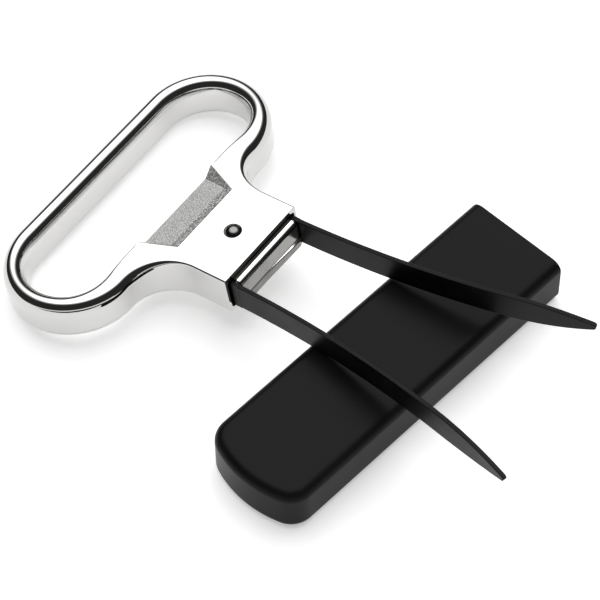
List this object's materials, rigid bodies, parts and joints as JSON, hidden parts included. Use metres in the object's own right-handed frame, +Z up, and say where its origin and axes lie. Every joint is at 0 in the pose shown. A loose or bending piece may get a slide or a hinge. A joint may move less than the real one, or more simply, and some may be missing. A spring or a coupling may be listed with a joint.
{
  "type": "two-prong cork puller",
  "caption": "Two-prong cork puller with a chrome loop handle, cap-lifter pocket and black spring-steel prongs, lying across its moulded black sheath.",
  "frame": {"origin": "middle of the sheath's underside, on the surface it lies on", "axes": "+X along the tool from the finger loop to the prong tips, +Z up"},
  "size_m": [0.1205, 0.0822, 0.0246],
  "materials": {
    "chrome_body": "polished",
    "rivet_chrome": "polished",
    "block_steel": "bright",
    "plate_steel": "satin",
    "heel_black": "satin black",
    "prong_black": "satin black",
    "sheath_black": "fine-grained moulded black"
  },
  "bodies": {
    "tool_body": {"handle": "chrome_body", "pivot_rivet": "rivet_chrome"},
    "rocker": {"prong_carrier": "block_steel", "clamp_plate": "plate_steel", "prong_heels": "heel_black"},
    "long_blade": {"long_prong": "prong_black"},
    "short_blade": {"short_prong": "prong_black"},
    "cover": {"sheath": "sheath_black"}
  },
  "joints": [
    {"name": "rocker_hinge", "type": "hinge", "parent": "tool_body", "child": "rocker", "pos_m": [-0.04001, 0.0037, 0.01083], "axis": [-0.1573, 0, 0.9876], "range_deg": [-2, 2]},
    {"name": "long_prong_flex", "type": "hinge", "parent": "rocker", "child": "long_blade", "pos_m": [-0.03088, -0.00607, 0.01228], "axis": [-0.1573, 0, 0.9876], "range_deg": [0, 8], "stiffness_Nm_per_rad": 4},
    {"name": "short_prong_flex", "type": "hinge", "parent": "rocker", "child": "short_blade", "pos_m": [-0.03088, 0.01347, 0.01228], "axis": [0.1573, 0, -0.9876], "range_deg": [0, 8], "stiffness_Nm_per_rad": 4},
    {"name": "sheath_slide", "type": "slide", "parent": "tool_body", "child": "cover", "axis": [-0.1323, -0.9912, 0], "range_m": [0, 0.062]}
  ]
}
